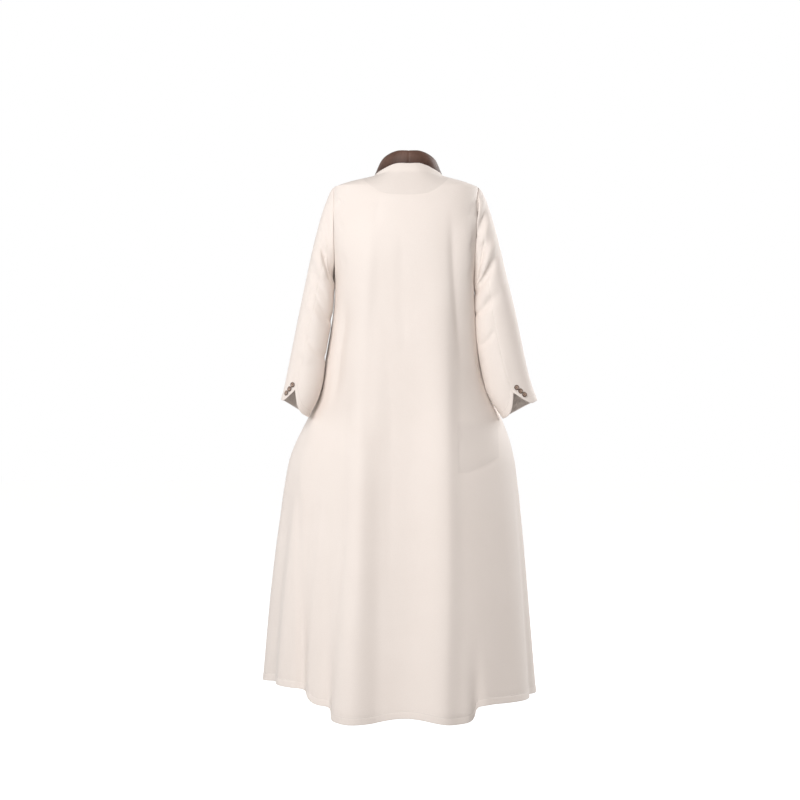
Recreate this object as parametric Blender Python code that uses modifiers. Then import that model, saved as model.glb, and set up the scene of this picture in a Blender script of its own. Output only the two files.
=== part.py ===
"""Abaya cloak in its worn form: an open-fronted A-line coat with a stand collar and two-piece sleeves.

Units are metres and +Z is up. The origin is the centre of the neck opening, level with the side neck points.
The front faces -Y and the wearer's left is +X. Tables are in millimetres and degrees.
"""

import math
from collections import namedtuple

import bmesh
import bpy
from mathutils import Matrix, Vector

MM = 0.001

# Walls and the gaps between them
CLOTH_WALL = 1.6
COLLAR_WALL = 2.2
FACING_WALL = 1.0
POCKET_WALL = 1.2
SEAM_GAP = 0.9
ARMHOLE_GAP = 1.6
LAYER_GAP = 0.5
COLLAR_LIFT = 1.3

# Neck and shoulders
NECK_HALF_WIDTH = 87.0
NECK_WALL_SLOPE = 0.35
SHOULDER_LEVEL = -39.0
UNDERARM_LEVEL = -291.0
ARMHOLE_TOP_X = {1: 194.0, -1: 181.0}
ARMHOLE_FOOT_X = {1: 189.0, -1: 165.0}
ARMHOLE_DEPTH_SHARE = 0.52
SURFACE_TOP = 30.0
SURFACE_SEARCH_FOOT = -160.0
HALVINGS = 40

# Front opening, from the middle to each edge
OPENING_AT_NECK = 6.0
OPENING_AT_HEM = 35.0

# Roundness of the rows round the neck and over the shoulder points: 2 is an ellipse, more is squarer
NECK_ROUNDNESS = 2.0
SHOULDER_ROUNDNESS = 2.3

# Rows and columns of the panels
ARMHOLE_ROWS = 9
SKIRT_ROWS = 16
BACK_HALF_COLUMNS = 14
FRONT_COLUMNS = 13
SLEEVE_ROWS = 14
SLEEVE_COLUMNS = 11
SLEEVE_CROWDING = 1.4
COLLAR_BACK_COLUMNS = 6
COLLAR_FRONT_COLUMNS = 7
COLLAR_ROWS = 3
POCKET_ROWS = 5

# Sections of the body by level: where its middle lies, how far it reaches from there, and how square it is
Ring = namedtuple("Ring", "level centre_x centre_y back_depth front_depth roundness")
RINGS = [
    Ring(30, 0, 0, 52, 58, 2.2),
    Ring(13, 0, 0, 58, 59, 2.2),
    Ring(0, 0, 0, 64, 61, 2.3),
    Ring(-39, 6.5, 0, 83, 73, 2.3),
    Ring(-80, 7.5, -1, 99, 84, 2.4),
    Ring(-165, 9.5, -3, 119, 108, 2.6),
    Ring(-291, 12, -6, 123, 113, 3.1),
    Ring(-340, 13, -14, 132, 106, 3.0),
    Ring(-408, 14, -24, 146, 98, 2.6),
    Ring(-500, 14, -33, 164, 95, 2.4),
    Ring(-634, 10, -36, 188, 109, 2.3),
    Ring(-746, 17, -16, 194, 150, 2.3),
    Ring(-900, 20, -9, 221, 184, 2.3),
    Ring(-1100, 23, -5, 260, 225, 2.3),
    Ring(-1345, 23, 0, 300, 272, 2.3),
]

# Half width of the body below the armholes
Width = namedtuple("Width", "level half_width")
WIDTHS = [
    Width(-291, 177),
    Width(-310, 178),
    Width(-340, 179),
    Width(-380, 183),
    Width(-460, 197),
    Width(-540, 214),
    Width(-590, 229),
    Width(-634, 250),
    Width(-665, 264),
    Width(-700, 278),
    Width(-746, 291),
    Width(-800, 299),
    Width(-850, 305),
    Width(-1058, 325),
    Width(-1345, 346),
]

# Rows over the shoulders: half width at the shoulder seam, and levels at centre back and centre front
ShoulderRow = namedtuple("ShoulderRow", "seam_half_width back_level front_level")
SHOULDER_ROWS = [
    ShoulderRow(NECK_HALF_WIDTH, 13, -75),
    ShoulderRow(101, -26, -90),
    ShoulderRow(116, -69, -105),
    ShoulderRow(134, -88, -118),
    ShoulderRow(152, -104, -130),
    ShoulderRow(170, -118, -141),
    ShoulderRow(187.5, -130, -151),
]
FACING_ROWS = 2
FACING_END = 0.7

# Level of the hem all round: 0 is centre back, 90 the wearer's left, 180 centre front
Hem = namedtuple("Hem", "azimuth level")
HEM = [
    Hem(-180, -1338),
    Hem(-135, -1338),
    Hem(-90, -1347),
    Hem(-60, -1338),
    Hem(-40, -1340),
    Hem(-29, -1360),
    Hem(-18, -1368),
    Hem(-2, -1356),
    Hem(14, -1364),
    Hem(23, -1362),
    Hem(33, -1342),
    Hem(48, -1322),
    Hem(66, -1314),
    Hem(90, -1316),
    Hem(135, -1334),
    Hem(180, -1338),
]
HEM_LEVEL = -1345.0

# Folds that start at a level and grow down to the hem
SkirtFold = namedtuple("SkirtFold", "azimuth_high azimuth_hem level_high half_width height")
SKIRT_FOLDS = [
    SkirtFold(-2, -2, -640, 9, -16),
    SkirtFold(11, 15, -330, 13, 26),
    SkirtFold(24, 33, -420, 12, -34),
    SkirtFold(38, 49, -480, 13, 20),
    SkirtFold(58, 66, -560, 12, -18),
    SkirtFold(82, 84, -600, 15, 10),
    SkirtFold(-12, -17, -300, 12, 26),
    SkirtFold(-27, -34, -380, 13, -36),
    SkirtFold(-46, -52, -520, 14, 20),
    SkirtFold(-66, -71, -560, 12, -16),
    SkirtFold(-86, -90, -600, 14, 8),
    SkirtFold(106, 108, -480, 13, -22),
    SkirtFold(126, 128, -420, 13, 22),
    SkirtFold(144, 147, -520, 11, -20),
    SkirtFold(163, 166, -460, 12, 14),
    SkirtFold(-108, -110, -460, 13, -20),
    SkirtFold(-128, -131, -440, 13, 24),
    SkirtFold(-146, -150, -540, 11, -18),
    SkirtFold(-165, -167, -480, 11, 13),
]
FOLD_GROWTH = 1.25

# Folds of the upper body, which fade at both ends
BodyFold = namedtuple("BodyFold", "azimuth_top level_top azimuth_foot level_foot half_width height")
BODY_FOLDS = [
    BodyFold(-30, -100, -41, -640, 9, -9),
    BodyFold(-41, -110, -52, -560, 8, 6),
    BodyFold(42, -120, 62, -700, 11, -11),
    BodyFold(131, -170, 128, -620, 12, 8),
    BodyFold(-129, -170, -127, -620, 12, 8),
]

# Sleeve sections from the armhole, 0, to the cuff, 1: the outer and inner line, and the depth between them
Sleeve = namedtuple("Sleeve", "share outer_x outer_level inner_x inner_level centre_y half_depth hind_seam")
SLEEVES = {
    1: [
        Sleeve(0.0, 194, -39, 189, -291, -3, 62, 90),
        Sleeve(0.10, 212, -75, 189.5, -293, 2, 62, 90),
        Sleeve(0.20, 228, -125, 190, -296, 7, 61, 90),
        Sleeve(0.32, 246, -198, 190.5, -300, 14, 60, 89),
        Sleeve(0.45, 261, -270, 191, -307, 22, 58, 88),
        Sleeve(0.60, 277, -350, 196, -378, 31, 56, 84),
        Sleeve(0.74, 292, -428, 210, -457, 39, 54, 79),
        Sleeve(0.87, 308, -510, 219, -540, 45, 52, 75),
        Sleeve(0.94, 316, -550, 232, -587, 48, 51, 73),
        Sleeve(1.0, 325, -588, 256, -633, 50, 50, 72),
    ],
    -1: [
        Sleeve(0.0, 181, -39, 165, -291, -3, 62, 90),
        Sleeve(0.10, 200, -72, 165.5, -293, 2, 61, 92),
        Sleeve(0.20, 216, -122, 166, -296, 7, 59, 94),
        Sleeve(0.32, 235, -195, 166.5, -300, 14, 56, 97),
        Sleeve(0.45, 252, -270, 167, -310, 21, 53, 98),
        Sleeve(0.60, 271, -350, 170, -382, 28, 49, 97),
        Sleeve(0.74, 287, -428, 178, -463, 33, 46, 94),
        Sleeve(0.87, 304, -510, 196, -553, 37, 43, 90),
        Sleeve(0.94, 315, -550, 212, -592, 39, 41, 88),
        Sleeve(1.0, 329, -590, 242, -637, 40, 40, 87),
    ],
}
FORE_SEAM = -92.0
ARMHOLE_BLEND = 0.3

# Folds across the sleeves: a line from one point to another, in share of length and angle round the arm
SleeveFold = namedtuple("SleeveFold", "share_from angle_from share_to angle_to half_width height")
SLEEVE_FOLDS = {
    1: [
        SleeveFold(0.22, 60, 0.36, 150, 0.07, -5),
        SleeveFold(0.40, 40, 0.52, 130, 0.06, -5),
        SleeveFold(0.56, 60, 0.62, 150, 0.05, -4),
        SleeveFold(0.46, -150, 0.56, -40, 0.06, -4),
    ],
    -1: [
        SleeveFold(0.16, 70, 0.30, 160, 0.06, -5),
        SleeveFold(0.30, 50, 0.44, 160, 0.07, -6),
        SleeveFold(0.52, 60, 0.58, 160, 0.05, -4),
        SleeveFold(0.46, -150, 0.56, -40, 0.06, -4),
    ],
}
SLEEVE_LENGTH = 450.0
TURN_STEP = 0.5
SHARE_STEP = 0.01

# Cuff notch at the hind seam
NOTCH_DEPTH = 42.0
NOTCH_HALF_ANGLE = 36.0
NOTCH_CURVE_TOP = 1.6
NOTCH_CURVE_UNDER = 3.0

# Collar
COLLAR_HEIGHT = 36.0
Lean = namedtuple("Lean", "turn lean")
COLLAR_LEANS = [
    Lean(0, 10),
    Lean(90, 24),
    Lean(180, 12),
]

# Pocket bag behind the right side seam
POCKET_SEAM_COLUMN = -13
POCKET_END_COLUMN = -4
POCKET_TOP = -625.0
POCKET_FOOT = -776.0
POCKET_SEAM_FOOT = -735.0
POCKET_CORNER = 34.0
POCKET_SLANT_END = 0.625
POCKET_CORNER_START = 0.8
POCKET_GAP = 1.0

# Cuff buttons: a row along the notch, on the top sleeve
BUTTON_COUNT = 3
BUTTON_PITCH = 13.4
BUTTON_INSET = 9.5
BUTTON_FIRST_ANGLE = 11.0
BUTTON_SEARCH_TURN = 0.1
BUTTON_TURN_STEP = 4.0
BUTTON_SHARE_STEP = 0.02
BUTTON_STEPS = 16
BUTTON_MERGE = 0.05
ButtonRing = namedtuple("ButtonRing", "radius height")
BUTTON_PROFILE = [
    ButtonRing(0.0, 2.1),
    ButtonRing(3.6, 2.1),
    ButtonRing(4.6, 2.9),
    ButtonRing(5.7, 3.0),
    ButtonRing(6.4, 2.2),
    ButtonRing(6.4, 0.8),
    ButtonRing(5.6, 0.0),
    ButtonRing(0.0, 0.0),
]

# Colour and roughness of each material
CLOTH = ((0.84, 0.77, 0.71), 0.75)
SATIN = ((0.13, 0.067, 0.048), 0.35)
BUTTON = ((0.40, 0.22, 0.15), 0.45)


def mix(low, high, share):
    return low + (high - low) * share


def ease(share):
    share = min(max(share, 0.0), 1.0)
    return share * share * (3 - 2 * share)


def signed_power(value, power):
    return math.copysign(abs(value) ** power, value)


def slope(table, index, column):
    """Slope of a column at one of its rows, for a smooth curve through them."""
    before = table[max(index - 1, 0)]
    after = table[min(index + 1, len(table) - 1)]
    return (after[column] - before[column]) / (after[0] - before[0])


def read(table, at):
    """The table's columns at a value of its first one, on smooth curves through the rows."""
    rising = table[-1][0] > table[0][0]
    low, high = (table[0][0], table[-1][0]) if rising else (table[-1][0], table[0][0])
    at = min(max(at, low), high)
    index = 0
    while index < len(table) - 2 and (table[index + 1][0] < at) == rising and table[index + 1][0] != at:
        index += 1
    here, there = table[index], table[index + 1]
    span = there[0] - here[0]
    t = (at - here[0]) / span
    values = [at]
    for column in range(1, len(here)):
        rise = there[column] - here[column]
        start = slope(table, index, column) * span
        end = slope(table, index + 1, column) * span
        curve = start + t * (3 * rise - 2 * start - end + t * (start + end - 2 * rise))
        values.append(here[column] + t * curve)
    return type(here)(*values)


def armhole_share(level):
    """Half depth of the armhole at a level, as a share of the body's depth there."""
    middle = (SHOULDER_LEVEL + UNDERARM_LEVEL) / 2
    half_height = (SHOULDER_LEVEL - UNDERARM_LEVEL) / 2
    away = (level - middle) / half_height
    return ARMHOLE_DEPTH_SHARE * math.sqrt(max(1 - away * away, 0.0))


def armhole_half_width(level, side):
    """Distance of the armhole seam from the body's middle."""
    share = (level - SHOULDER_LEVEL) / (UNDERARM_LEVEL - SHOULDER_LEVEL)
    seam_x = mix(ARMHOLE_TOP_X[side], ARMHOLE_FOOT_X[side], share)
    return seam_x - side * read(RINGS, level).centre_x


def half_width(level, side):
    """Half width of the ring at a level; beside an armhole, that of the ring its cloth would close."""
    if level >= 0:
        return NECK_HALF_WIDTH - NECK_WALL_SLOPE * level
    if level > SHOULDER_LEVEL:
        return mix(NECK_HALF_WIDTH, armhole_half_width(SHOULDER_LEVEL, side), level / SHOULDER_LEVEL)
    if level > UNDERARM_LEVEL:
        roundness = read(RINGS, level).roundness
        left = 1 - armhole_share(level) ** roundness
        return armhole_half_width(level, side) / left ** (1 / roundness)
    return read(WIDTHS, level).half_width


def turned(azimuth):
    return (azimuth + 180) % 360 - 180


def bump(away):
    """A round rise of height 1 that is gone at a distance of 1."""
    return math.cos(math.pi / 2 * away) ** 2 if abs(away) < 1 else 0.0


def fold_height(level, azimuth):
    total = 0.0
    for fold in SKIRT_FOLDS:
        grown = (fold.level_high - level) / (fold.level_high - HEM_LEVEL)
        if grown > 0:
            middle = mix(fold.azimuth_high, fold.azimuth_hem, grown)
            total += fold.height * grown**FOLD_GROWTH * bump(turned(azimuth - middle) / fold.half_width)
    for fold in BODY_FOLDS:
        share = (level - fold.level_top) / (fold.level_foot - fold.level_top)
        if 0 < share < 1:
            middle = mix(fold.azimuth_top, fold.azimuth_foot, share)
            total += fold.height * math.sin(math.pi * share) * bump(turned(azimuth - middle) / fold.half_width)
    return total


def body_point(level, azimuth):
    """A point of the cloth round the body."""
    side = 1 if azimuth >= 0 else -1
    ring = read(RINGS, level)
    sine = math.sin(math.radians(azimuth))
    cosine = math.cos(math.radians(azimuth))
    wide = half_width(level, side)
    deep = ring.back_depth if cosine >= 0 else ring.front_depth
    across = signed_power(sine, 2 / ring.roundness)
    along = signed_power(cosine, 2 / ring.roundness)
    outward = Vector((across / wide, along / deep, 0)).normalized() * fold_height(level, azimuth)
    return Vector((ring.centre_x + wide * across, ring.centre_y + deep * along, level)) + outward


def level_at(x, y, side):
    """Level at which the cloth over the shoulders passes through a point seen from above."""
    high, low = SURFACE_TOP, SURFACE_SEARCH_FOOT
    for _ in range(HALVINGS):
        level = (high + low) / 2
        ring = read(RINGS, level)
        deep = ring.back_depth if y >= ring.centre_y else ring.front_depth
        across = abs((x - ring.centre_x) / half_width(level, side)) ** ring.roundness
        along = abs((y - ring.centre_y) / deep) ** ring.roundness
        if across + along > 1:
            high = level
        else:
            low = level
    return (high + low) / 2


def shoulder_point(row, share, side, face):
    """A point over the shoulders. share is 0 in the middle and 1 at the seam; face is 1 behind, -1 in front."""
    here = SHOULDER_ROWS[row]
    middle_level = here.back_level if face > 0 else here.front_level
    roundness = mix(NECK_ROUNDNESS, SHOULDER_ROUNDNESS, row / (len(SHOULDER_ROWS) - 1))
    seam_level = level_at(side * here.seam_half_width, 0, side)
    centre_x = read(RINGS, seam_level).centre_x
    middle = read(RINGS, middle_level)
    deep = middle.back_depth + middle.centre_y if face > 0 else middle.front_depth - middle.centre_y
    angle = share * math.pi / 2
    x = centre_x + side * here.seam_half_width * signed_power(math.sin(angle), 2 / roundness)
    y = face * deep * signed_power(abs(math.cos(angle)), 2 / roundness)
    return Vector((x, y, level_at(x, y, side)))


def full_azimuth(azimuth, side, face):
    """Azimuth from centre back, from one measured from the middle of the back or the front."""
    return side * (azimuth if face > 0 else 180 - azimuth)


def armhole_row_point(row, share, side, face):
    """A point between the armholes; row counts from the shoulder point."""
    turn = math.pi * row / ARMHOLE_ROWS
    edge_level = mix(UNDERARM_LEVEL, SHOULDER_LEVEL, (1 + math.cos(turn)) / 2)
    last = SHOULDER_ROWS[-1]
    start = last.back_level if face > 0 else last.front_level
    middle_level = mix(start, UNDERARM_LEVEL, row / ARMHOLE_ROWS)
    level = mix(edge_level, middle_level, max(math.cos(math.pi / 2 * share), 0.0))
    reach = (1 - armhole_share(level) ** read(RINGS, level).roundness) ** 0.5
    edge = math.degrees(math.asin(reach))
    return body_point(level, full_azimuth(share * edge, side, face))


def skirt_point(row, share, side, face):
    """A point below the armholes; row counts from the underarm."""
    azimuth = full_azimuth(share * 90, side, face)
    hem = read(HEM, turned(azimuth)).level
    return body_point(mix(UNDERARM_LEVEL, hem, row / SKIRT_ROWS), azimuth)


def trunk_point(row, share, side, face):
    """A point of a back or front panel, from the neck edge, row 0, to the hem."""
    shoulder_rows = len(SHOULDER_ROWS) - 1
    if row < shoulder_rows:
        point = shoulder_point(row, share, side, face)
    elif row < shoulder_rows + ARMHOLE_ROWS:
        point = armhole_row_point(row - shoulder_rows, share, side, face)
    else:
        point = skirt_point(row - shoulder_rows - ARMHOLE_ROWS, share, side, face)
    if share == 1:
        point.y += face * SEAM_GAP / 2
    return point


TRUNK_ROWS = len(SHOULDER_ROWS) - 1 + ARMHOLE_ROWS + SKIRT_ROWS


def opening_share(row):
    """Share of the front's width at which its free edge lies."""
    half_gap = mix(OPENING_AT_NECK, OPENING_AT_HEM, row / TRUNK_ROWS)
    edge = trunk_point(row, 0.999, 1, -1)
    reach = abs(edge.x - trunk_point(row, 0, 1, -1).x)
    roundness = read(RINGS, edge.z).roundness
    return math.asin((half_gap / reach) ** (roundness / 2)) / (math.pi / 2)


def back_point(row, column):
    """A corner of the back panel's facets. column counts from the middle, and is positive on the left."""
    share = abs(column) / BACK_HALF_COLUMNS
    return trunk_point(row, share, 1 if column >= 0 else -1, 1)


def back_grid():
    columns = range(-BACK_HALF_COLUMNS, BACK_HALF_COLUMNS + 1)
    return [[back_point(row, column) for column in columns] for row in range(TRUNK_ROWS + 1)]


def front_grid(side):
    grid = []
    for row in range(TRUNK_ROWS + 1):
        start = opening_share(row)
        shares = [mix(start, 1, column / FRONT_COLUMNS) for column in range(FRONT_COLUMNS)] + [1]
        line = [trunk_point(row, share, side, -1) for share in shares]
        grid.append(line[::side])
    return grid


def sleeve_fold_height(side, share, angle):
    total = 0.0
    for fold in SLEEVE_FOLDS[side]:
        along = (angle - fold.angle_from) / (fold.angle_to - fold.angle_from)
        if 0 < along < 1:
            middle = mix(fold.share_from, fold.share_to, along)
            total += fold.height * math.sin(math.pi * along) * bump((share - middle) / fold.half_width)
    return total


def sleeve_point(side, share, angle):
    """A point of a sleeve. angle is 0 on its outer line, 90 behind and 180 on its inner line."""
    here = read(SLEEVES[side], share)
    sine = math.sin(math.radians(angle))
    cosine = math.cos(math.radians(angle))
    middle = Vector((here.outer_x + here.inner_x, 0, here.outer_level + here.inner_level)) / 2
    reach = Vector((here.outer_x - here.inner_x, 0, here.outer_level - here.inner_level)) / 2
    armhole_level = mix(UNDERARM_LEVEL, SHOULDER_LEVEL, (1 + cosine) / 2)
    ring = read(RINGS, armhole_level)
    deep = ring.back_depth if sine >= 0 else ring.front_depth
    armhole_y = ring.centre_y + deep * ARMHOLE_DEPTH_SHARE * sine
    own_y = here.centre_y + here.half_depth * sine
    spoke = reach * cosine
    spoke.y = here.half_depth * sine
    point = middle + reach * cosine
    point.y = mix(armhole_y, own_y, ease(share / ARMHOLE_BLEND))
    folded = (angle + 180) % 360 - 180
    point += spoke.normalized() * sleeve_fold_height(side, share, folded)
    point.x = side * (point.x + ARMHOLE_GAP)
    return point


def cuff_share(side, angle):
    """Share of the sleeve's length at which the cuff edge lies, with the notch at the hind seam."""
    seam = read(SLEEVES[side], 1).hind_seam
    away = min(abs(angle - seam) / NOTCH_HALF_ANGLE, 1)
    curve = NOTCH_CURVE_TOP if angle < seam else NOTCH_CURVE_UNDER
    return 1 - NOTCH_DEPTH / SLEEVE_LENGTH * (1 - away) ** curve


def sleeve_directions(side, share, angle, turn, step):
    """Steps over a sleeve's cloth, round it and along it."""
    around = sleeve_point(side, share, angle + turn) - sleeve_point(side, share, angle - turn)
    along = sleeve_point(side, share + step, angle) - sleeve_point(side, share - step, angle)
    return around, along


def beside_seam(side, share, angle, way):
    """An angle half a seam gap to one side of a seam."""
    around, along = sleeve_directions(side, share, angle, TURN_STEP, SHARE_STEP)
    across = around.cross(along.normalized()).length
    return angle + way * SEAM_GAP * TURN_STEP / across


def crowded(share, hind_last):
    """Share of the way across a sleeve piece, with the columns closer together towards the hind seam."""
    if hind_last:
        return 1 - (1 - share) ** SLEEVE_CROWDING
    return share**SLEEVE_CROWDING


def sleeve_grid(side, first_seam, last_seam, hind_last):
    """Grid of one sleeve piece. Each seam is a function that gives its angle at a share of the length."""
    cuff_first = first_seam(1)
    cuff_last = last_seam(1)
    grid = []
    for row in range(SLEEVE_ROWS + 1):
        line = []
        for column in range(SLEEVE_COLUMNS + 1):
            across = crowded(column / SLEEVE_COLUMNS, hind_last)
            end = cuff_share(side, mix(cuff_first, cuff_last, across))
            share = end * row / SLEEVE_ROWS
            first = beside_seam(side, share, first_seam(share), 1)
            last = beside_seam(side, share, last_seam(share), -1)
            line.append(sleeve_point(side, share, mix(first, last, across)))
        grid.append(line[::side])
    return grid


def hind_seam(side):
    return lambda share: read(SLEEVES[side], share).hind_seam


def collar_grid(side):
    """Stand collar from centre back to the front edge, on the neck edge of the body."""
    stops = [(column / COLLAR_BACK_COLUMNS, 1) for column in range(COLLAR_BACK_COLUMNS)]
    front_edge = opening_share(0)
    for column in range(COLLAR_FRONT_COLUMNS + 1):
        stops.append((mix(1, front_edge, column / COLLAR_FRONT_COLUMNS), -1))
    columns = []
    for share, face in stops:
        foot = trunk_point(0, share, side, face)
        foot.y = 0 if share == 1 else foot.y
        foot.x += side * SEAM_GAP / 2 if (share, face) == (0, 1) else 0
        turn = share * 90 if face > 0 else 180 - share * 90
        lean = math.radians(read(COLLAR_LEANS, turn).lean)
        way = math.radians(turn)
        up = Vector((-side * math.sin(way) * math.sin(lean), -math.cos(way) * math.sin(lean), math.cos(lean)))
        heights = [mix(COLLAR_LIFT, COLLAR_HEIGHT, row / COLLAR_ROWS) for row in range(COLLAR_ROWS + 1)]
        columns.append([foot + up * height for height in heights])
    grid = [[column[row] for column in columns] for row in reversed(range(COLLAR_ROWS + 1))]
    return [line[::side] for line in grid]


def moved_in(grid, distance):
    """The points of a grid, moved along its inward normals."""
    moved = []
    for row, line in enumerate(grid):
        above = grid[max(row - 1, 0)]
        below = grid[min(row + 1, len(grid) - 1)]
        moved_line = []
        for column, point in enumerate(line):
            across = line[min(column + 1, len(line) - 1)] - line[max(column - 1, 0)]
            down = below[column] - above[column]
            moved_line.append(point + down.cross(across).normalized() * distance)
        moved.append(moved_line)
    return moved


def facing_grid():
    """The back panel's own points round the neck, ended a little before the shoulder seams."""
    grid = []
    last = BACK_HALF_COLUMNS
    for row in range(FACING_ROWS + 1):
        line = [back_point(row, column) for column in range(1 - last, last)]
        right_end = line[0].lerp(back_point(row, -last), FACING_END)
        left_end = line[-1].lerp(back_point(row, last), FACING_END)
        grid.append([right_end, *line, left_end])
    return grid


def on_skirt_facets(level, column):
    """A point on the back panel's facets, between two of its rows."""
    first_row = TRUNK_ROWS - SKIRT_ROWS
    foot = back_point(TRUNK_ROWS, column).z
    row = first_row + SKIRT_ROWS * (level - UNDERARM_LEVEL) / (foot - UNDERARM_LEVEL)
    above = math.floor(row)
    return back_point(above, column).lerp(back_point(above + 1, column), row - above)


def pocket_grid():
    """The pocket bag's outline on the back panel: straight at the seam, rounded at its far lower corner."""
    columns = range(POCKET_SEAM_COLUMN, POCKET_END_COLUMN + 1)
    grid = []
    for row in range(POCKET_ROWS + 1):
        line = []
        for index, column in enumerate(columns):
            across = index / (len(columns) - 1)
            foot = mix(POCKET_SEAM_FOOT, POCKET_FOOT, min(across / POCKET_SLANT_END, 1))
            foot += POCKET_CORNER * max((across - POCKET_CORNER_START) / (1 - POCKET_CORNER_START), 0) ** 2
            line.append(on_skirt_facets(mix(POCKET_TOP, foot, row / POCKET_ROWS), column))
        grid.append(line)
    return grid


def plain_material(name, colour, roughness):
    material = bpy.data.materials.new(name)
    material.use_nodes = True
    shader = material.node_tree.nodes["Principled BSDF"]
    shader.inputs["Base Color"].default_value = (*colour, 1)
    shader.inputs["Roughness"].default_value = roughness
    shader.inputs["Metallic"].default_value = 0.0
    return material


def add_object(name, mesh, look):
    piece = bpy.data.objects.new(name, mesh)
    piece.data.materials.append(plain_material(name, *look))
    bpy.data.collections["abaya_cloak"].objects.link(piece)
    return piece


def add_shell(name, grid, wall, look):
    """A lofted sheet through the grid's rows, thickened evenly to both sides."""
    shape = bmesh.new()
    rows = [[shape.verts.new(point * MM) for point in line] for line in grid]
    for above, below in zip(rows, rows[1:]):
        for column in range(len(above) - 1):
            shape.faces.new((above[column], above[column + 1], below[column + 1], below[column]))
    bmesh.ops.reverse_faces(shape, faces=shape.faces)
    mesh = bpy.data.meshes.new(name)
    shape.to_mesh(mesh)
    shape.free()
    mesh.shade_smooth()
    piece = add_object(name, mesh, look)
    solid = piece.modifiers.new("wall", "SOLIDIFY")
    solid.thickness = wall * MM
    solid.offset = 0
    return piece


def button_mesh():
    shape = bmesh.new()
    ring = [shape.verts.new((step.radius * MM, 0, step.height * MM)) for step in BUTTON_PROFILE]
    for one, other in zip(ring, ring[1:]):
        shape.edges.new((one, other))
    mesh = bpy.data.meshes.new("cuff_button")
    shape.to_mesh(mesh)
    shape.free()
    return mesh


def button_places(side):
    """Share and angle of each button, spaced along the notch's edge on the top sleeve."""
    seam = read(SLEEVES[side], 1).hind_seam
    angle = seam - BUTTON_FIRST_ANGLE
    places = []
    while len(places) < BUTTON_COUNT:
        share = cuff_share(side, angle) - BUTTON_INSET / SLEEVE_LENGTH
        point = sleeve_point(side, share, angle)
        if not places or (point - sleeve_point(side, *places[-1])).length >= BUTTON_PITCH:
            places.append((share, angle))
        angle -= BUTTON_SEARCH_TURN
    return places


def add_buttons(side, side_name):
    for index, (share, angle) in enumerate(button_places(side)):
        point = sleeve_point(side, share, angle)
        around, along = sleeve_directions(side, share, angle, BUTTON_TURN_STEP, BUTTON_SHARE_STEP)
        normal = side * along.cross(around).normalized()
        name = f"cuff_button_{side_name}_{index + 1}"
        piece = add_object(name, button_mesh(), BUTTON)
        turn = normal.to_track_quat("Z", "Y").to_matrix().to_4x4()
        seat = point + normal * (CLOTH_WALL / 2 + LAYER_GAP)
        piece.matrix_world = Matrix.Translation(seat * MM) @ turn
        screw = piece.modifiers.new("turned", "SCREW")
        screw.steps = BUTTON_STEPS
        screw.render_steps = BUTTON_STEPS
        screw.use_merge_vertices = True
        screw.merge_threshold = BUTTON_MERGE * MM


def add_sleeves(side, side_name):
    hind = hind_seam(side)
    top = sleeve_grid(side, lambda share: FORE_SEAM, hind, True)
    under = sleeve_grid(side, hind, lambda share: FORE_SEAM + 360, False)
    add_shell(f"sleeve_{side_name}_top", top, CLOTH_WALL, CLOTH)
    add_shell(f"sleeve_{side_name}_under", under, CLOTH_WALL, CLOTH)


def add_facing():
    set_in = CLOTH_WALL / 2 + LAYER_GAP + FACING_WALL / 2
    add_shell("neck_facing", moved_in(facing_grid(), set_in), FACING_WALL, CLOTH)


def add_pocket_bag():
    set_in = CLOTH_WALL / 2 + POCKET_GAP + POCKET_WALL / 2
    add_shell("pocket_bag", moved_in(pocket_grid(), set_in), POCKET_WALL, CLOTH)


def clear_scene():
    for piece in list(bpy.data.objects):
        bpy.data.objects.remove(piece, do_unlink=True)
    collection = bpy.data.collections.new("abaya_cloak")
    bpy.context.scene.collection.children.link(collection)


def main():
    clear_scene()
    add_shell("back", back_grid(), CLOTH_WALL, CLOTH)
    for side, side_name in ((1, "left"), (-1, "right")):
        add_shell(f"front_{side_name}", front_grid(side), CLOTH_WALL, CLOTH)
        add_sleeves(side, side_name)
        add_shell(f"collar_{side_name}", collar_grid(side), COLLAR_WALL, SATIN)
        add_buttons(side, side_name)
    add_facing()
    add_pocket_bag()


main()
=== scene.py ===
"""Looks of the abaya cloak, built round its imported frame.

Tables are in millimetres and degrees, in the frame of the CAD: the front faces -Y, and the left side is +X.
Every cloth piece is a fine version of the surface of the CAD solid that it replaces, with its folds, seams,
turned hems and stitching.
"""

import math

import bpy
import numpy as np
from mathutils import Matrix, Vector


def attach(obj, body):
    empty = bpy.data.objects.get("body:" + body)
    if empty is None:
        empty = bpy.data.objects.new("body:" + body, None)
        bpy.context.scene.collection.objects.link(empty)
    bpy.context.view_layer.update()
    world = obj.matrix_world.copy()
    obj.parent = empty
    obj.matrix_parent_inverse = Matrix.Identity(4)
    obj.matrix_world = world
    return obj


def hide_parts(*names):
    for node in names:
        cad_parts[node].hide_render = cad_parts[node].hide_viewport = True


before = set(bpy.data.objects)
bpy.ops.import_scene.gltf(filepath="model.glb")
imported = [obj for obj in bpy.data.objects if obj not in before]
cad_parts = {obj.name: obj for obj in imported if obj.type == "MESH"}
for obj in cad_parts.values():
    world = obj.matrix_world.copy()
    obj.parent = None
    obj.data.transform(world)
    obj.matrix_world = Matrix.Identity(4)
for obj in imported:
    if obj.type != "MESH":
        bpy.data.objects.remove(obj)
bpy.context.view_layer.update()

MM = 0.001
TINY = 1e-9

# Walls and the gaps between them
CLOTH_WALL = 1.5
COLLAR_WALL = 2.2
FACING_WALL = 1.0
POCKET_WALL = 1.0
SEAM_GAP = 0.35
ARMHOLE_GAP = 1.1
COLLAR_LIFT = 0.9

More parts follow.
